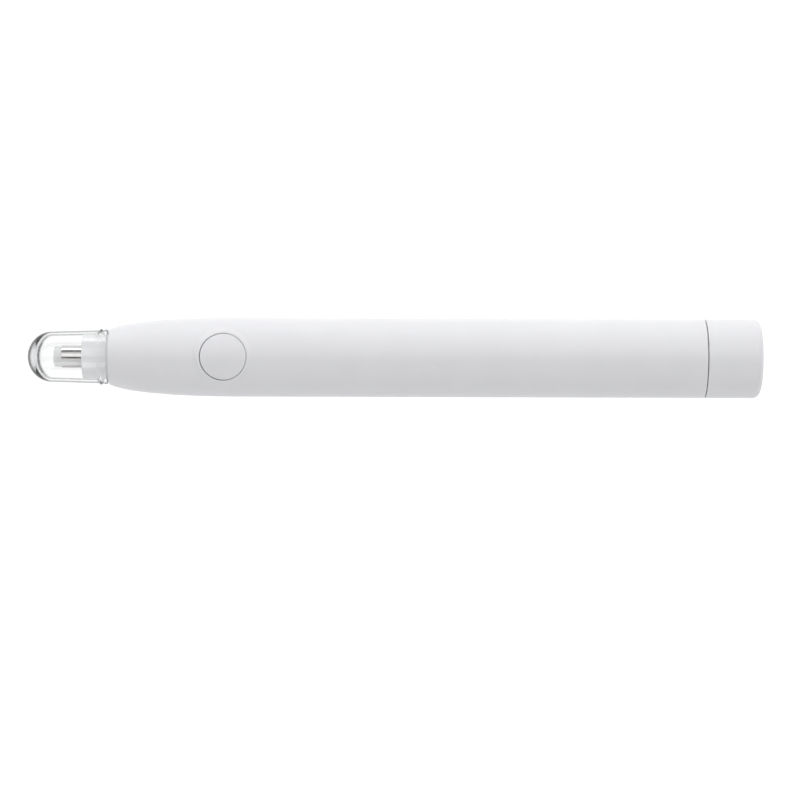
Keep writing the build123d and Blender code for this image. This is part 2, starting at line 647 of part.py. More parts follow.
def board_screws():
    """Cross-head screws that hold the board to the frame."""
    head_top = BOARD_TOP + 0.7
    recess_floor = head_top - 0.3
    shank = post(BOARD_SCREW_X, BOARD_SCREW_Y, 0.8, BOARD_TOP, BOARD_SCREW_RADIUS)
    head = post(BOARD_SCREW_X, BOARD_SCREW_Y, BOARD_TOP, head_top, 1.0)
    along = bar(-0.7, 0.7, 0.15, recess_floor, head_top + CLEAR)
    across = bar(-0.15, 0.15, 0.7, recess_floor, head_top + CLEAR)
    return mirrored(shank + head - at(BOARD_SCREW_X, BOARD_SCREW_Y, along + across))


def switch_slab(z0, z1):
    """A square block with cut corners, centred under the button."""
    slab = at(BUTTON_X, 0, bar(-SWITCH_HALF, SWITCH_HALF, SWITCH_HALF, z0, z1))
    return chamfer(slab.edges().filter_by(Axis.Z), SWITCH_CORNER)


def switch_housing():
    case = switch_slab(BOARD_TOP + CLOSE, SWITCH_TOP - 0.02)
    return case - post(BUTTON_X, 0, SWITCH_FLOOR, SWITCH_TOP + CLEAR, SWITCH_WELL_RADIUS)


def switch_cover():
    plate = switch_slab(SWITCH_TOP, SWITCH_COVER_TOP)
    return plate - post(BUTTON_X, 0, SWITCH_TOP - 0.1, SWITCH_COVER_TOP + CLEAR, PLUNGER_RADIUS + 0.08)


def switch_dome():
    """The snap disc under the plunger: a shallow spring-steel dome."""
    seat = SWITCH_FLOOR + 0.03
    curve = (DOME_RIM ** 2 + DOME_RISE ** 2) / (2 * DOME_RISE)
    shell = Sphere(curve) - Sphere(curve - DOME_THICK)
    raised = Pos(BUTTON_X, 0, seat + DOME_RISE - curve) * shell
    return raised & post(BUTTON_X, 0, seat, seat + CLEAR, DOME_RIM)


def switch_plunger():
    foot = 5.7
    flange = post(BUTTON_X, 0, foot, SWITCH_TOP - 0.04, PLUNGER_FLANGE)
    return post(BUTTON_X, 0, foot, PLUNGER_TOP, PLUNGER_RADIUS) + flange


def switch_terminals():
    half_spacing = 1.85
    foot = block(-0.35, 0.35, 0, 0.8, BOARD_TOP + CLOSE, BOARD_TOP + 0.3)
    right = [at(BUTTON_X + x, SWITCH_HALF + CLOSE, foot) for x in (-half_spacing, half_spacing)]
    return [solid for one in right for solid in mirrored(one)]


def on_board(x0, x1, half_width, height, lift=0.0):
    """A small box that stands on the board, or a little above it."""
    base = BOARD_TOP + CLOSE
    return bar(x0, x1, half_width, base + lift, base + height)


def driver_chip():
    """The transistor that switches the motor: a moulded body with three gull-wing legs."""
    leg_height = 0.25
    body = on_board(-0.65, 0.65, 1.45, 1.0, lift=0.1)
    legs = [at(0, y, on_board(0.5, 1.25, 0.2, leg_height)) for y in (-0.95, 0.95)]
    legs.append(on_board(-1.25, -0.5, 0.2, leg_height))
    return at(33.2, 2.9, fused([body] + legs))


def control_chip():
    body = on_board(-1.45, 1.45, 0.8, 1.0, lift=0.1)
    legs = [on_board(x - 0.18, x + 0.18, 1.4, 0.25) for x in (-0.95, 0, 0.95)]
    return at(23.2, -1.3, fused([body] + legs))


def chip_parts():
    """Three resistors and a capacitor."""
    resistor = on_board(-0.8, 0.8, 0.4, 0.45)
    capacitor = on_board(-1.0, 1.0, 0.62, 1.1)
    resistors = [at(x, y, resistor) for x, y in ((23.0, 1.6), (24.6, 3.6), (33.2, -1.2))]
    return resistors + [at(33.0, -3.4, capacitor)]


# ------------------------------------------------------------------ leads
def rising_run(y):
    """The first two points of a lead: its pad on the board, and where it has risen to the motor's flat."""
    return (PAD_X, y, BOARD_TOP + FIT), (PAD_X + 0.9, y, LEAD_Z)


def motor_lead(side):
    """From the board, over the motor's flat, down to a terminal."""
    y = OUTER_LEAD_Y * side
    beside = side * (TERMINAL_Y + TERMINAL_THICK + WIRE_RADIUS + 0.02)
    return wire(*rising_run(y), (57.4, y, LEAD_Z), (58.0, beside, 3.6), (58.0, beside, 0.0))


def positive_lead():
    """From the board to the tab of the battery's positive contact."""
    y = INNER_LEAD_Y
    return wire(*rising_run(y), (56.6, y, LEAD_Z), (57.8, y, 5.5), (59.3, y, 5.5))


def negative_lead():
    """From the board to the front end of the negative strip."""
    y = -INNER_LEAD_Y
    return wire(*rising_run(y), (57.0, y, LEAD_Z), (58.4, -0.9, 6.15), (60.2, -0.9, 6.15))


# ------------------------------------------------------------------ battery bay
def battery_tube():
    """A guide tube for two cells, with ribs that centre it in the barrel."""
    end = TUBE_REAR + CLEAR
    tube = sleeve(TUBE_FRONT, TUBE_REAR, TUBE_OUTER, TUBE_INNER)
    rib = bar(TUBE_FRONT, SPIGOT_FRONT - 1.0, RIB_HALF_WIDTH, TUBE_OUTER - 0.4, BORE)
    tube = fused([tube] + around((45, 135, 225, 315), rib)) & rod(TUBE_FRONT, end, BORE - FIT)
    tongue_slot = bar(TONGUE_FRONT - 0.6, end, TONGUE_HALF_WIDTH + 0.2, TUBE_INNER - 0.5, TUBE_OUTER + 0.5)
    wiper_slot = bar(WIPER_FRONT - 2, end, 1.6, TUBE_INNER - 0.5, TUBE_OUTER + 0.5)
    return without(tube, around((90, 270), tongue_slot) + [wiper_slot])


def battery_cell(front):
    """One cell: a rounded can with the positive button at its front."""
    shoulder = front + CELL_BUTTON_HEIGHT
    rear = front + CELL_LENGTH
    return lathe(
        (front, 0), (front, CELL_BUTTON_RADIUS), (shoulder, CELL_BUTTON_RADIUS), (shoulder, CELL_RADIUS),
        (rear, CELL_RADIUS), (rear, 0),
        rounds=[
            ((front, CELL_BUTTON_RADIUS), 0.3),
            ((shoulder, CELL_RADIUS), 0.5),
            ((rear, CELL_RADIUS), 0.5),
        ],
    )


def positive_contact():
    """A sprung plate with a raised centre and a tab through the motor frame."""
    front = BULKHEAD_REAR + 0.02
    rear = front + CONTACT_THICK
    plate = bar(front, rear, CONTACT_HALF_WIDTH, -CONTACT_HALF_WIDTH, CONTACT_HALF_WIDTH)
    plate = fillet(plate.edges().filter_by(Axis.X), 0.8)
    raised = rod(rear - 0.1, CELL_FRONT - 0.02, 1.6)
    neck = block(front, rear, 1.9, 3.6, 4.0, 5.1)
    tab = block(REAR_BULKHEAD_FRONT - CLEAR, rear, 1.9, 3.6, 4.8, 5.1)
    return plate + raised + neck + tab


def negative_strip():
    """A long strip on top of the battery tube that carries the negative side forward."""
    return bar(REAR_BULKHEAD_FRONT - CLEAR, SPIGOT_FRONT - 0.3, STRIP_HALF_WIDTH, STRIP_BOTTOM, STRIP_TOP)


def contact_carrier():
    """The insulating disc inside the rear cap, kept from turning by two tongues in the battery tube."""
    disc = rod(CARRIER_FRONT, REAR_FACE - WALL - 0.1, SPIGOT_BORE + 0.2)
    tongue = bar(TONGUE_FRONT, CARRIER_FRONT + 0.5, TONGUE_HALF_WIDTH, TONGUE_INNER, TONGUE_OUTER)
    tongue = fillet(tongue.edges().filter_by(Axis.Z).sort_by(Axis.X)[:2], 0.8)
    return fused([disc] + around((90, 270), tongue))


def rear_contact_plate():
    """A plate behind the spring, with a leg that wipes the underside of the negative strip."""
    rear = CARRIER_FRONT - 0.02
    front = rear - CONTACT_THICK
    half_width = 1.2
    leg_bottom = 5.75
    leg_top = leg_bottom + CONTACT_THICK
    leg = bar(WIPER_FRONT, rear, half_width, leg_bottom, leg_top)
    bend = bar(front, rear, half_width, 5.2, leg_top)
    wiper = bar(WIPER_FRONT, WIPER_FRONT + 1.2, half_width, leg_bottom, STRIP_BOTTOM - 0.03)
    return rod(front, rear, REAR_PLATE_RADIUS) + bend + leg + wiper


def negative_spring():
    """The coil spring that presses on the rear cell, drawn at its fitted length."""
    base = CELLS_REAR + FIT + SPRING_WIRE
    height = CARRIER_FRONT - 0.35 - SPRING_WIRE - base
    turns = coil(Circle(SPRING_WIRE), height / SPRING_TURNS, height, SPRING_RADIUS)
    return Pos(base, 0, 0) * LYING * turns


# ------------------------------------------------------------------ writing the pieces
PIECES = {
    "barrel": barrel,
    "rear_cap": rear_cap,
    "clear_cap": clear_cap,
    "nose_collar": nose_collar,
    "nose_bush": nose_bush,
    "button": button,
    "eraser_refill": eraser_refill,
    "chuck": chuck,
    "chuck_hub": chuck_hub,
    "motor_shaft": motor_shaft,
    "rotor_core": rotor_core,
    "rotor_windings": rotor_windings,
    "commutator_core": commutator_core,
    "commutator_segments": commutator_segments,
    "motor_can": motor_can,
    "motor_magnets": motor_magnets,
    "motor_bearings": motor_bearings,
    "motor_end_bell": motor_end_bell,
    "motor_terminals": motor_terminals,
    "motor_brushes": motor_brushes,
    "motor_screws": motor_screws,
    "motor_frame": motor_frame,
    "switch_board": switch_board,
    "board_screws": board_screws,
    "switch_housing": switch_housing,
    "switch_cover": switch_cover,
    "switch_dome": switch_dome,
    "switch_plunger": switch_plunger,
    "switch_terminals": switch_terminals,
    "driver_chip": driver_chip,
    "control_chip": control_chip,
    "chip_parts": chip_parts,
    "motor_lead_red": lambda: motor_lead(1),
    "motor_lead_black": lambda: motor_lead(-1),
    "positive_lead": positive_lead,
    "negative_lead": negative_lead,
    "battery_tube": battery_tube,
    "battery_front": lambda: battery_cell(CELL_FRONT),
    "battery_rear": lambda: battery_cell(CELL_SPLIT + CELL_GAP),
    "positive_contact": positive_contact,
    "negative_strip": negative_strip,
    "contact_carrier": contact_carrier,
    "rear_contact_plate": rear_contact_plate,
    "negative_spring": negative_spring,
}


def place(shape):
    """Moves a piece, or each of a list of pieces, to the part's own frame."""
    solids = shape if isinstance(shape, list) else shape.solids()
    return Compound(children=[Pos(-MIDDLE, 0, AXIS_HEIGHT) * one for s in solids for one in s.solids()])


os.makedirs("parts", exist_ok=True)
for name, make in PIECES.items():
    export_step(place(make()), f"parts/{name}.step")
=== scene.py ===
"""Looks of the electric eraser: fine meshes for what shows, procedural materials, light and camera."""

import json
import math

import bmesh
import bpy
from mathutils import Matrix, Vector


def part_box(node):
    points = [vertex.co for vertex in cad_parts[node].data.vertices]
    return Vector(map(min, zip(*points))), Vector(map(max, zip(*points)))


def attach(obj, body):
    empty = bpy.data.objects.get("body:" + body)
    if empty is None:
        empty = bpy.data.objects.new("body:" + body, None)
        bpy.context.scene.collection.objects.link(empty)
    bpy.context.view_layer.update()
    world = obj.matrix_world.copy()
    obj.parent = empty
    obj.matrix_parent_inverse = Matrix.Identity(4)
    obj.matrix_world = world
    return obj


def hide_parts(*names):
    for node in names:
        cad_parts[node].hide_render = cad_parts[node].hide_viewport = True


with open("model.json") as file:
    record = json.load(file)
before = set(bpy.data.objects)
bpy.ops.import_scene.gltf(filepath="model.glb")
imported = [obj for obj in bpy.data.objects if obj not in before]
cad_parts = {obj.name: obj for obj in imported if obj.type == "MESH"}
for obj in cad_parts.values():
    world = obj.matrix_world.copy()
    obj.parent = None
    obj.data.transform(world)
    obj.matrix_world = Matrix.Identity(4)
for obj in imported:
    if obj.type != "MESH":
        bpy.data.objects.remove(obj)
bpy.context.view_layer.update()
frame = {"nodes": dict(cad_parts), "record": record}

# ---------------------------------------- the frame, in mm from the barrel's front edge
MM = 0.001
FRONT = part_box("barrel")[0][0]
AXIS = (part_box("eraser_refill")[0][2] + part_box("eraser_refill")[1][2]) / 2


def behind_front(x):
    """A place along the row's X, in metres, as mm behind the barrel's front edge."""
    return (x - FRONT) / MM


BARREL_RADIUS = (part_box("rear_cap")[1][2] - AXIS) / MM
BUTTON_X = behind_front((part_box("button")[0][0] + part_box("button")[1][0]) / 2)
BUTTON_HOLE = 5.75        # radius of the hole that the button sits in
DOME_END = -14.0          # where the clear cap's dome runs into its tube
CAP_APEX = behind_front(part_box("clear_cap")[0][0])
CAP_MOUTH = behind_front(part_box("clear_cap")[1][0])
COLLAR_FRONT = behind_front(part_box("nose_collar")[0][0])
COLLAR_TAIL = behind_front(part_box("nose_collar")[1][0])
COLLAR_RADIUS = 5.5
ERASER_TIP = behind_front(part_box("eraser_refill")[0][0])
ERASER_TAIL = behind_front(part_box("eraser_refill")[1][0])
ERASER_RADIUS = 2.5
CHUCK_TIP = behind_front(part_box("chuck")[0][0])
CHUCK_TAIL = behind_front(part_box("chuck")[1][0])
CHUCK_RADIUS = 2.75
CHUCK_BORE = 2.54
SLOT_ANGLE = 41.0         # where the chuck's slots face at rest, from straight up towards -y
SLOT_WIDTH = 2.25
CELL_LENGTH = 44.5


def row(x, y, z):
    """A point in mm from the barrel's front edge and the tool's axis, in the row's frame in metres."""
    return Vector((FRONT + x * MM, y * MM, AXIS + z * MM))


def on_circle(x, radius, angle):
    """A point at that radius, turned from straight up towards +y."""
    return row(x, radius * math.sin(angle), radius * math.cos(angle))


# ---------------------------------------- materials
NOISE_LOW, NOISE_HIGH = 0.3, 0.7          # noise mostly lies between these


class Look:
    """A Principled material and short ways to add nodes to it."""

    def __init__(self, name, **sockets):
        self.material = bpy.data.materials.new(name)
        self.material.use_nodes = True
        self.tree = self.material.node_tree
        self.shader = self.tree.nodes["Principled BSDF"]
        self.output = self.tree.nodes["Material Output"]
        for socket, value in sockets.items():
            self.set(socket.replace("_", " "), value)

    def set(self, socket, value):
        """A constant for a socket, where a tuple is a colour unless it is a subsurface radius."""
        if isinstance(value, tuple) and "Radius" not in socket:
            value = (*value, 1)
        self.shader.inputs[socket].default_value = value

    def node(self, kind, **inputs):
        made = self.tree.nodes.new(kind)
        for name, value in inputs.items():
            made.inputs[name.replace("_", " ")].default_value = value
        return made

    def link(self, a, b):
        self.tree.links.new(a, b)

    def place(self, stretch=(1, 1, 1)):
        """Object coordinates, stretched along the row's axes."""
        coord = self.tree.nodes.new("ShaderNodeTexCoord")
        mapping = self.node("ShaderNodeMapping", Scale=stretch)
        self.link(coord.outputs["Object"], mapping.inputs["Vector"])
        return mapping.outputs["Vector"]

    def noise(self, size_mm, detail=2.0, stretch=(1, 1, 1)):
        """Noise with features of about size_mm."""
        made = self.node("ShaderNodeTexNoise", Scale=1 / (size_mm * MM), Detail=detail)
        self.link(self.place(stretch), made.inputs["Vector"])
        return made.outputs["Fac"]

    def ramp(self, value, stops):
        """A colour for a value, from (position, colour) stops."""
        made = self.tree.nodes.new("ShaderNodeValToRGB")
        ramp = made.color_ramp
        while len(ramp.elements) < len(stops):
            ramp.elements.new(0.5)
        for element, (position, colour) in zip(ramp.elements, stops):
            element.position = position
            element.color = (*colour, 1)
        self.link(value, made.inputs["Fac"])
        return made.outputs["Color"]

    def spread(self, value, low, high, start=NOISE_LOW, end=NOISE_HIGH):
        """A value mapped from start..end to low..high."""
        made = self.node("ShaderNodeMapRange", From_Min=start, From_Max=end, To_Min=low, To_Max=high)
        self.link(value, made.inputs["Value"])
        return made.outputs["Result"]

    def colours(self, value, low, high):
        stops = [(NOISE_LOW, low), (NOISE_HIGH, high)]
        self.link(self.ramp(value, stops), self.shader.inputs["Base Color"])
        return self

    def roughness(self, value, low, high):
        self.link(self.spread(value, low, high), self.shader.inputs["Roughness"])
        return self

    def bump(self, value, height_mm):
        """A bump of that height, on top of any that is already there."""
        made = self.node("ShaderNodeBump", Strength=1.0, Distance=height_mm * MM)
        self.link(value, made.inputs["Height"])
        normal = self.shader.inputs["Normal"]
        if normal.is_linked:
            self.link(normal.links[0].from_socket, made.inputs["Normal"])
        self.link(made.outputs["Normal"], normal)
        return self

    def translucent(self, weight, radius_mm):
        """Light that soaks in and comes out nearby, as in milky plastic."""
        self.set("Subsurface Weight", weight)
        self.set("Subsurface Radius", (1.0, 1.0, 1.0))
        self.set("Subsurface Scale", radius_mm * MM)
        return self


def moulded(name, low, high, roughness, grain_mm=0.14, height_mm=0.0025):
    """Injection-moulded plastic: a fine sparked grain, with slow changes of shade and gloss."""
    look = Look(name)
    look.colours(look.noise(9.0, 3.0), low, high)
    look.roughness(look.noise(2.6, 4.0), *roughness)
    look.bump(look.noise(grain_mm), height_mm)
    return look


def metal(name, low, high, roughness, stretch=(1, 1, 1), grain_mm=0.2, height_mm=0.001):
    """Bare metal, with a grain drawn out along the row's axes by stretch."""
    look = Look(name, Metallic=1.0)
    grain = look.noise(grain_mm, 3.0, stretch)
    look.colours(grain, low, high)
    look.roughness(look.noise(1.2, 3.0), *roughness)
    look.bump(grain, height_mm)
    return look


def clear_plastic():
    """Clear plastic with faint flow marks that absorbs a little light on its way through. Its colour
    darkens towards grazing angles, more in the dome than in the walls: painted shade, so that its edges
    look grey as if they showed dark surroundings. For shadows it is a light tint, so that lamps reach what
    it covers."""
    clear, grey, dark, darkest = (1.0, 1.0, 1.0), (0.14, 0.144, 0.148), (0.03, 0.03, 0.03), (0.0, 0.0, 0.0)
    change_front, change_rear = FRONT + (DOME_END - 3.0) * MM, FRONT + DOME_END * MM
    look = Look("clear_plastic", Base_Color=(1, 1, 1), Transmission_Weight=1.0, IOR=1.41)
    haze = look.node("ShaderNodeVolumeAbsorption", Color=(0.55, 0.58, 0.60, 1), Density=110.0)
    look.link(haze.outputs["Volume"], look.output.inputs["Volume"])
    look.roughness(look.noise(1.5, 4.0), 0.0, 0.02)
    look.bump(look.noise(2.4, 1.0), 0.003)
    # painted shade: the base colour goes grey towards grazing angles in the walls and near black in the
    # dome, so that the edges look dark
    edge = look.node("ShaderNodeLayerWeight", Blend=0.5).outputs["Facing"]
    walls = look.ramp(edge, [(0.58, clear), (0.72, grey), (1.0, dark)])
    dome = look.ramp(edge, [(0.44, clear), (0.60, (0.02, 0.02, 0.02)), (1.0, darkest)])
    split = look.node("ShaderNodeSeparateXYZ")
    look.link(look.place(), split.inputs["Vector"])
    blend = look.node("ShaderNodeMix")
    blend.data_type = "RGBA"
    in_dome = look.spread(split.outputs["X"], 1.0, 0.0, change_front, change_rear)
    look.link(in_dome, blend.inputs["Factor"])
    look.link(walls, blend.inputs["A"])
    look.link(dome, blend.inputs["B"])
    look.link(blend.outputs["Result"], look.shader.inputs["Base Color"])
    mix = look.tree.nodes.new("ShaderNodeMixShader")
    tint = look.node("ShaderNodeBsdfTransparent", Color=(0.95, 0.955, 0.96, 1))
    light_path = look.tree.nodes.new("ShaderNodeLightPath")
    look.link(light_path.outputs["Is Shadow Ray"], mix.inputs["Fac"])
    look.link(look.shader.outputs["BSDF"], mix.inputs[1])
    look.link(tint.outputs["BSDF"], mix.inputs[2])
    look.link(mix.outputs["Shader"], look.output.inputs["Surface"])
    return look


def cell_jacket():
    """A shrunk plastic jacket with a darker band at the front and rear ends of the pair and no print."""
    dark, light = (0.10, 0.15, 0.20), (0.42, 0.47, 0.50)
    look = Look("cell_jacket", Coat_Weight=0.4, Coat_Roughness=0.1)
    along = look.tree.nodes.new("ShaderNodeSeparateXYZ")
    look.link(look.place(), along.inputs["Vector"])
    wave = look.node("ShaderNodeMath", Value=0.0)
    wave.operation = "PINGPONG"
    look.link(along.outputs["X"], wave.inputs[0])
    wave.inputs[1].default_value = CELL_LENGTH * MM
    along_cell = look.spread(wave.outputs["Value"], 0.0, 1.0, 0.0, CELL_LENGTH * MM)
    bands = look.ramp(along_cell, [(0.0, dark), (0.28, dark), (0.30, light), (1.0, (0.46, 0.50, 0.53))])
    look.link(bands, look.shader.inputs["Base Color"])
    look.roughness(look.noise(1.5, 3.0), 0.22, 0.34)
    look.bump(look.noise(3.0, 2.0), 0.006)
    return look


LOOKS = {
    "casing": moulded(
        "satin_white", (0.752, 0.754, 0.776), (0.772, 0.774, 0.796),
        (0.42, 0.5), 0.16, 0.0016,
    ),
    "clear": clear_plastic(),
    "collar": moulded(
        "milky_plastic", (0.74, 0.745, 0.755), (0.80, 0.805, 0.815),
        (0.28, 0.36), 0.4, 0.001,
    ),
    "eraser": moulded(
        "vinyl_eraser", (0.60, 0.60, 0.595), (0.73, 0.73, 0.725),
        (0.55, 0.7), 0.22, 0.006,
    ),
    "chromed": metal(
        "plated_steel", (0.60, 0.58, 0.57), (0.74, 0.72, 0.71),
        (0.10, 0.2), (0.15, 1, 1), 0.12, 0.0006,
    ),
    "brass": metal(
        "turned_brass", (0.68, 0.50, 0.22), (0.76, 0.58, 0.28),
        (0.2, 0.3), (1, 0.1, 0.1), 0.1,
    ),
    "bronze": metal(
        "sintered_bronze", (0.36, 0.24, 0.13), (0.48, 0.33, 0.18),
        (0.4, 0.6), (1, 1, 1), 0.12, 0.004,
    ),
    "copper": metal(
        "copper_wire", (0.62, 0.27, 0.14), (0.74, 0.36, 0.19),
        (0.25, 0.35), (1, 1, 1), 0.15,
    ),
    "steel": metal(
        "rolled_steel", (0.50, 0.50, 0.51), (0.60, 0.60, 0.61),
        (0.28, 0.4), (0.2, 1, 1), 0.15,
    ),
    "laminations": metal(
        "stacked_sheets", (0.20, 0.20, 0.21), (0.36, 0.36, 0.37),
        (0.4, 0.5), (6, 0.2, 0.2), 1.5,
    ),
    "nickel": metal(
        "nickel_strip", (0.58, 0.56, 0.52), (0.68, 0.66, 0.62),
        (0.22, 0.32), (0.2, 1, 1), 0.2,
    ),
    "ferrite": moulded("ferrite", (0.05, 0.05, 0.055), (0.09, 0.09, 0.095), (0.5, 0.65), 0.2, 0.004),
    "frame_grey": moulded("grey_plastic", (0.20, 0.205, 0.215), (0.25, 0.255, 0.265), (0.4, 0.5)),
    "black": moulded("black_plastic", (0.02, 0.02, 0.022), (0.035, 0.035, 0.038), (0.4, 0.5)),
    "natural": moulded("natural_nylon", (0.66, 0.63, 0.55), (0.72, 0.69, 0.61), (0.35, 0.45)),
    "board": moulded("solder_resist", (0.02, 0.16, 0.07), (0.03, 0.22, 0.10), (0.2, 0.3), 0.6, 0.002),
    "chip": moulded("chip_body", (0.02, 0.02, 0.02), (0.035, 0.035, 0.035), (0.5, 0.6), 0.1, 0.003),
    "wire_red": moulded("red_insulation", (0.42, 0.02, 0.02), (0.5, 0.03, 0.03), (0.35, 0.45)),
    "wire_black": moulded("black_insulation", (0.015, 0.015, 0.015), (0.03, 0.03, 0.03), (0.35, 0.45)),
    "cell": cell_jacket(),
}
LOOKS["casing"].translucent(0.08, 0.8)
LOOKS["casing"].set("Specular IOR Level", 0.35)
LOOKS["collar"].translucent(0.5, 1.5)
LOOKS["eraser"].translucent(0.4, 1.2)

for part in frame["record"]["subparts"]:
    node = frame["nodes"][part["node"]]
    node.data.materials.clear()
    node.data.materials.append(LOOKS[part["material_slot"]].material)


# ---------------------------------------- mesh building
def piece(name, shape, slot, body, nodes=()):
    """A new piece made from a bmesh, in a slot's material, riding on a body in place of any CAD nodes."""
    bmesh.ops.remove_doubles(shape, verts=shape.verts, dist=0.0001 * MM)
    bmesh.ops.recalc_face_normals(shape, faces=shape.faces)
    for face in shape.faces:
        face.smooth = True
    mesh = bpy.data.meshes.new(name)
    shape.to_mesh(mesh)
    shape.free()
    mesh.materials.append(LOOKS[slot].material)
    made = bpy.data.objects.new(name, mesh)
    bpy.context.scene.collection.objects.link(made)
    made.modifiers.new("even_normals", "WEIGHTED_NORMAL").keep_sharp = True
    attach(made, body)
    if nodes:
        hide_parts(*nodes)
    return made


def stitch(shape, rings, closed=True):
    """Quads between neighbouring rings of points and, if closed, from the last ring to the first. Points in
    the same place make a triangle."""
    verts = [[shape.verts.new(point) for point in ring] for ring in rings]
    same_place = 1e-8
    for ring, following in zip(verts, verts[1:] + verts[:1] if closed else verts[1:]):
        for i in range(len(ring)):
            j = (i + 1) % len(ring)
            corners = []
            for vert in (ring[i], ring[j], following[j], following[i]):
                if not any((vert.co - known.co).length < same_place for known in corners):
                    corners.append(vert)
            if len(corners) > 2:
                shape.faces.new(corners)


def rounded(*corners, steps=6):
    """An outline of (x, radius) points from corners (x, radius, rounding)."""
    points = []
    for i, (x, radius, size) in enumerate(corners):
        corner = Vector((x, radius))
        if size == 0:
            points.append((x, radius))
            continue
        into = (Vector(corners[i - 1][:2]) - corner).normalized()
        out = (Vector(corners[(i + 1) % len(corners)][:2]) - corner).normalized()
        half = into.angle(out) / 2
        centre = corner + (into + out).normalized() * size / math.sin(half)
        start = corner + into * size / math.tan(half) - centre
        end = corner + out * size / math.tan(half) - centre
        turn = start.angle(end)
        for step in range(steps + 1):
            share = step / steps
            arm = start * math.sin((1 - share) * turn) + end * math.sin(share * turn)
            points.append(tuple(centre + arm / math.sin(turn)))
    return points


def turned(outline, segments=144, closed=True):
    """A surface of revolution about the tool's axis from (x, radius) points."""
    shape = bmesh.new()
    angles = [2 * math.pi * i / segments for i in range(segments)]
    stitch(shape, [[on_circle(x, radius, angle) for angle in angles] for x, radius in outline], closed)
    return shape


def quarter_ellipse(apex, base, radius, steps):
    """Outline points from an apex on the axis to where the curve runs parallel to it."""
    return [
        (base + (apex - base) * math.cos(t), radius * math.sin(t))
        for t in (math.pi / 2 * i / steps for i in range(steps + 1))
    ]


def swell(x, middle, half_width, height):
    """A soft bump in an outline."""
    off = (x - middle) / half_width
    return height * math.cos(off * math.pi / 2) ** 2 if abs(off) < 1 else 0.0


# ---------------------------------------- nose
def clear_cap():
    """A thin dome and tube, with a bead at its mouth that has a crest and a lower second ridge."""
    dome_radius, dome_bore, crown = 6.15, 5.45, 1.7
    wall_at_mouth, bore_at_mouth = 6.55, 5.8
    outer_corner, inner_corner, lead_in = 0.1, 0.14, 0.12
    bead_front, bead_half_width = -2.85, 0.62
    crest, crest_height = -2.05, 0.33
    ridge, ridge_height = -0.95, 0.17
    steps = 40

    def wall(x):
        """The tube's outer radius, which grows towards the mouth."""
        return dome_radius + (wall_at_mouth - dome_radius) * (x - DOME_END) / -DOME_END

    def bore(x):
        """The tube's inner radius, which also grows towards the mouth."""
        return dome_bore + (bore_at_mouth - dome_bore) * (x - DOME_END) / -DOME_END

    outer = quarter_ellipse(CAP_APEX, DOME_END, dome_radius, steps)
    outer += [(x, wall(x)) for x in (-13.0, -10.0, -7.0, -4.5, -3.2)]
    for i in range(steps + 1):
        x = bead_front + (CAP_MOUTH - outer_corner - bead_front) * i / steps
        bead = swell(x, crest, bead_half_width, crest_height)
        outer.append((x, wall(x) + bead + swell(x, ridge, bead_half_width, ridge_height)))
    mouth = [
        (CAP_MOUTH, wall(CAP_MOUTH) - outer_corner),
        (CAP_MOUTH, bore_at_mouth + inner_corner),
        (CAP_MOUTH - lead_in, bore_at_mouth),
    ]
    inner = [(x, bore(x)) for x in (-3.0, -7.0, -11.0)]
    inner += quarter_ellipse(CAP_APEX + crown, DOME_END, dome_bore, 32)[::-1]
    cap = turned(outer + mouth + inner, closed=False)
    piece("clear_nose_cap", cap, "clear", "clear_cap", ["clear_cap"])


def nose_collar():
    """The milky tube, with rounded edges, a snap ridge under the cap's bead and its seat in the barrel."""
    mouth, bore, seat_bore, seat, step = 3.0, 4.0, 4.6, 6.1, 5.05
    lip, bush_end = 1.2, 1.3
    ridge = COLLAR_RADIUS + 0.11
    outline = rounded(
        (COLLAR_FRONT, mouth, 0.25), (COLLAR_FRONT, COLLAR_RADIUS, 0.5),
        (-3.3, COLLAR_RADIUS, 0.2), (-2.9, ridge, 0.25), (-2.3, ridge, 0.25), (-1.9, COLLAR_RADIUS, 0.2),
        (step, COLLAR_RADIUS, 0.1), (step, seat, 0.3), (COLLAR_TAIL, seat, 0.1),
        (COLLAR_TAIL, seat_bore, 0.1), (bush_end, seat_bore, 0.1), (bush_end, bore, 0.1),
        (COLLAR_FRONT + lip, bore, 0.1), (COLLAR_FRONT + lip, mouth, 0.1),
    )
    piece("milky_nose_collar", turned(outline), "collar", "housing", ["nose_collar"])


def eraser_stick():
    """The refill: a soft stick whose tip is slightly dished, worn and uneven."""
    worn_length, worn_depth = 0.6, 0.06
    dish = [(ERASER_TIP + 0.02 * k, k * 0.4) for k in range(1, 5)]
    side = rounded(
        (ERASER_TIP, 0, 0), (ERASER_TIP, ERASER_RADIUS, 0.42), (ERASER_TAIL, ERASER_RADIUS, 0.2),
        (ERASER_TAIL, 0, 0), steps=8,
    )
    shape = turned([(ERASER_TIP, 0)] + dish + side[1:], 96, closed=False)
    for vert in shape.verts:
        angle = math.atan2(vert.co.y, vert.co.z - AXIS)
        depth = max(0.0, 1 - (behind_front(vert.co.x) - ERASER_TIP) / worn_length)
        wear = 0.5 + 0.5 * math.sin(3 * angle + 0.7) * math.sin(5 * angle)
        vert.co.x += worn_depth * MM * depth * wear
    piece("vinyl_eraser_stick", shape, "eraser", "refill", ["eraser_refill"])


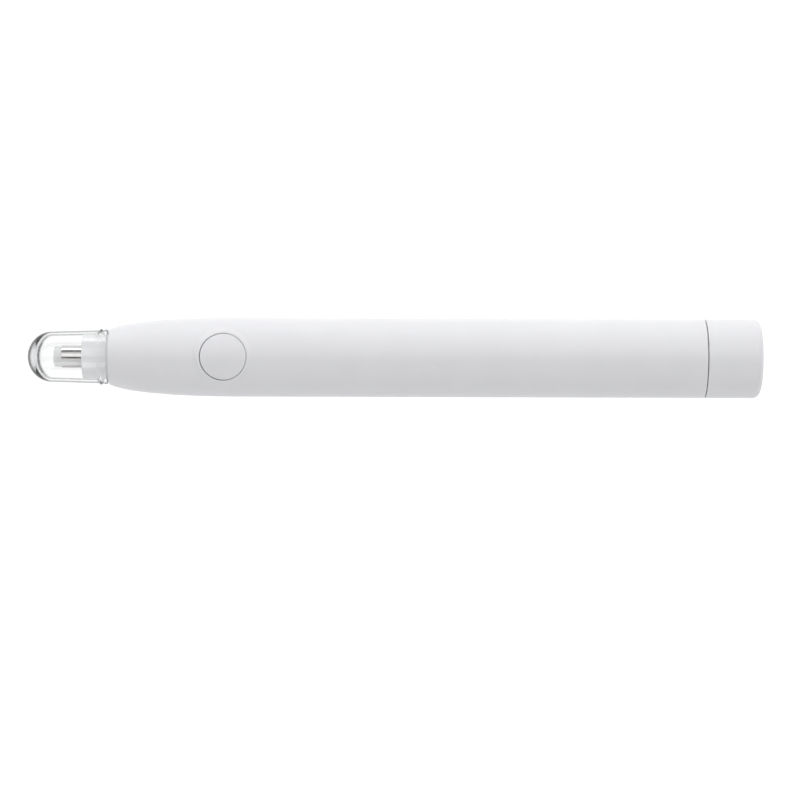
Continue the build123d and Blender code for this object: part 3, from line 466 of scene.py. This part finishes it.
def chuck_jaws():
    """The slotted metal tube: two jaws with rounded corners and rolled edges, whole behind the slots."""
    shape = bmesh.new()
    slot_end, corner, edge = 3.0, 0.8, 0.06
    across, tip_steps, straight_steps, end_steps = 40, 8, 10, 12
    nearly_round = 0.98 * math.pi / 2     # where the slots' round ends stop, just short of closing
    roll, roll_depth, start_lift = 0.12, 0.1, 0.15     # the tip's rolled edge

    def half_slot(x):
        """Half the slot's width at a station: flared by the jaws' round corners, closed by a round end."""
        half = SLOT_WIDTH / 2
        if x < CHUCK_TIP + corner:
            off = CHUCK_TIP + corner - x
            return half + corner - math.sqrt(max(0.0, corner ** 2 - off ** 2))
        if x > slot_end:
            return math.sqrt(max(0.0, half ** 2 - (x - slot_end) ** 2))
        return half

    ease = [1 - math.cos(math.pi / 2 * i / tip_steps) for i in range(tip_steps + 1)]
    tip_part = [CHUCK_TIP + corner * e for e in ease]
    straight = slot_end - CHUCK_TIP - corner
    straight_part = [CHUCK_TIP + corner + straight * i / straight_steps for i in range(1, straight_steps)]
    turns = [nearly_round * i / end_steps for i in range(end_steps + 1)]
    end_part = [slot_end + SLOT_WIDTH / 2 * math.sin(turn) for turn in turns]
    stations = tip_part + straight_part + end_part

    def jaw_ring(x, middle):
        """The jaw's cross-section at a station: a curved strip with softened edges."""
        half_angle = math.pi / 2 - math.asin(half_slot(x) / CHUCK_RADIUS)
        lift = min(1.0, (x - CHUCK_TIP) / roll + start_lift)
        outer = CHUCK_RADIUS - roll_depth * (1 - math.sqrt(max(0.0, 1 - (1 - lift) ** 2)))
        points = []
        for i in range(across + 1):
            t = -1 + 2 * i / across
            soft = edge * max(0.0, abs(t) * across - across + 2) / 2
            points.append(on_circle(x, outer - soft, middle + half_angle * t))
        for i in range(across + 1):
            t = 1 - 2 * i / across
            points.append(on_circle(x, CHUCK_BORE, middle + half_angle * t))
        return points

    for side in (math.pi / 2, -math.pi / 2):
        middle = -math.radians(SLOT_ANGLE) + side
        rings = [jaw_ring(x, middle) for x in stations]
        stitch(shape, rings, closed=False)
        for ring in (rings[0], rings[-1]):
            shape.faces.new([shape.verts.new(point) for point in ring])
    first = slot_end + SLOT_WIDTH / 2 * 0.998     # just in front of the jaws' last station
    tube = turned([
        (first, CHUCK_BORE), (first, CHUCK_RADIUS), (CHUCK_TAIL, CHUCK_RADIUS), (CHUCK_TAIL, CHUCK_BORE),
    ], 160)
    mesh = bpy.data.meshes.new("tube_part")
    tube.to_mesh(mesh)
    tube.free()
    shape.from_mesh(mesh)
    bpy.data.meshes.remove(mesh)
    piece("metal_chuck", shape, "chromed", "rotor", ["chuck"])


# ---------------------------------------- barrel and the ring round the button
def barrel_shell():
    """The barrel's own mesh, with normals that agree across the line on top where its surface closes on
    itself, and with its raised ring let in, below the finer one that covers it."""
    mesh = frame["nodes"]["barrel"].data.copy()
    mesh.name = "barrel_shell"
    on_line, leaning = 0.01 * MM, 0.1
    normals = []
    for loop, corner in zip(mesh.loops, mesh.corner_normals):
        normal = corner.vector.copy()
        place = mesh.vertices[loop.vertex_index].co
        if abs(place.y) < on_line and place.z > AXIS and abs(normal.y) < leaning:
            normal.y = 0
        normals.append(normal.normalized())
    let_in, above = BARREL_RADIUS - 0.05, BARREL_RADIUS + 0.001
    for vert in mesh.vertices:
        if math.hypot(vert.co.y, vert.co.z - AXIS) / MM > above:
            vert.co.z = AXIS + math.sqrt((let_in * MM) ** 2 - vert.co.y ** 2)
    mesh.normals_split_custom_set(normals)
    made = bpy.data.objects.new("barrel_shell", mesh)
    bpy.context.scene.collection.objects.link(made)
    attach(made, "housing")
    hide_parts("barrel")


def button_surround():
    """The soft raised ring of the barrel's moulding, from the button's gap out to where it fades away. Its
    edge at the gap stands closer to the button towards the rear and +y."""
    lip, closer, closest = 5.79, 0.058, math.radians(35)
    turns = 160
    profile = [
        (BUTTON_HOLE, -0.9), (BUTTON_HOLE, -0.3), (BUTTON_HOLE + 0.01, 0.02), (5.78, 0.10), (5.88, 0.144),
        (6.00, 0.157), (6.20, 0.159), (6.40, 0.156), (6.50, 0.132), (6.60, 0.095), (6.70, 0.055),
        (6.80, 0.025), (6.92, 0.008), (7.05, 0.0), (7.15, -0.06), (7.15, -0.9),
    ]
    shape = bmesh.new()
    rings = []
    for reach, lift in profile:
        ring = []
        for i in range(turns):
            angle = 2 * math.pi * i / turns
            inset = closer * (1 + math.cos(angle - closest)) if reach < lip else 0
            radius = reach - inset
            y = radius * math.sin(angle)
            z = math.sqrt((BARREL_RADIUS + lift) ** 2 - y ** 2)
            ring.append(row(BUTTON_X + radius * math.cos(angle), y, z))
        rings.append(ring)
    stitch(shape, rings)
    piece("button_surround", shape, "casing", "housing")


clear_cap()
nose_collar()
eraser_stick()
chuck_jaws()
barrel_shell()
button_surround()


# ---------------------------------------- floor, light and camera
def floor():
    """A white table that glows evenly."""
    mesh = bpy.data.meshes.new("floor")
    half = 4.0
    corners = [(-half, -half, 0), (half, -half, 0), (half, half, 0), (-half, half, 0)]
    mesh.from_pydata(corners, [], [(0, 1, 2, 3)])
    made = bpy.data.objects.new("floor", mesh)
    bpy.context.scene.collection.objects.link(made)
    look = Look("pale_table", Base_Color=(0.05, 0.05, 0.05), Roughness=0.6, Specular_IOR_Level=0.0,
                Emission_Color=(1, 1, 1), Emission_Strength=1.06)
    mesh.materials.append(look.material)


def strip_light(name, degrees, spread, watts):
    """A long soft strip beside the tool, 1 m from its axis, at that angle from straight up towards +y and
    that many degrees wide."""
    data = bpy.data.lights.new(name, "AREA")
    data.shape = "RECTANGLE"
    length, distance, tilt = 2.4, 1.0, math.radians(degrees)
    data.size = length
    data.size_y = 2 * distance * math.tan(math.radians(spread / 2))
    data.energy = watts
    lamp = bpy.data.objects.new(name, data)
    lamp.location = (0, distance * math.sin(tilt), distance * math.cos(tilt) + AXIS)
    lamp.rotation_euler = (-tilt, 0, 0)
    lamp.visible_camera = False
    bpy.context.scene.collection.objects.link(lamp)


def end_light(name, place, watts):
    """A soft square lamp past an end of the tool, facing its middle."""
    data = bpy.data.lights.new(name, "AREA")
    data.size = 0.7
    data.energy = watts
    lamp = bpy.data.objects.new(name, data)
    lamp.location = place
    lamp.rotation_euler = Vector(place).to_track_quat("Z", "Y").to_euler()
    lamp.visible_camera = False
    bpy.context.scene.collection.objects.link(lamp)


def camera():
    """Straight above the tool, a little off its middle and slightly turned."""
    data = bpy.data.cameras.new("camera")
    data.sensor_width = 36
    distance, seen_width = 0.640, 0.1951
    aside, turn = (0.0016, -0.0103), math.radians(0.18)
    data.lens = data.sensor_width * distance / seen_width
    made = bpy.data.objects.new("camera", data)
    made.location = (*aside, AXIS + distance)
    made.rotation_euler = (0, 0, turn)
    bpy.context.scene.collection.objects.link(made)
    bpy.context.scene.camera = made


def studio_world():
    """A room that is mid grey up to the horizon and darker above it."""
    world = bpy.data.worlds.new("studio")
    world.use_nodes = True
    bpy.context.scene.world = world
    tree = world.node_tree
    coord = tree.nodes.new("ShaderNodeTexCoord")
    split = tree.nodes.new("ShaderNodeSeparateXYZ")
    ramp = tree.nodes.new("ShaderNodeValToRGB")
    tree.links.new(coord.outputs["Generated"], split.inputs["Vector"])
    tree.links.new(split.outputs["Z"], ramp.inputs["Fac"])
    tree.links.new(ramp.outputs["Color"], tree.nodes["Background"].inputs["Color"])
    stops = ramp.color_ramp.elements
    stops[0].position, stops[0].color = 0.02, (0.5, 0.5, 0.5, 1)
    stops[1].position, stops[1].color = 0.2, (0.15, 0.15, 0.15, 1)
    tree.nodes["Background"].inputs["Strength"].default_value = 1.0


floor()
for name, degrees, spread, watts in (
    ("low_front_strip", -38, 24, 5.0), ("top_strip", 15, 30, 5.0), ("upper_back_strip", 37, 14, 1.6),
    ("low_back_strip", 86, 24, 9.4),
):
    strip_light(name, degrees, spread, watts)
end_light("nose_end_light", (-0.9, 0.1, 0.55), 1.2)
end_light("rear_end_light", (0.8, 0.55, 0.5), 1.6)
camera()
studio_world()
bpy.context.scene.view_settings.view_transform = "Standard"
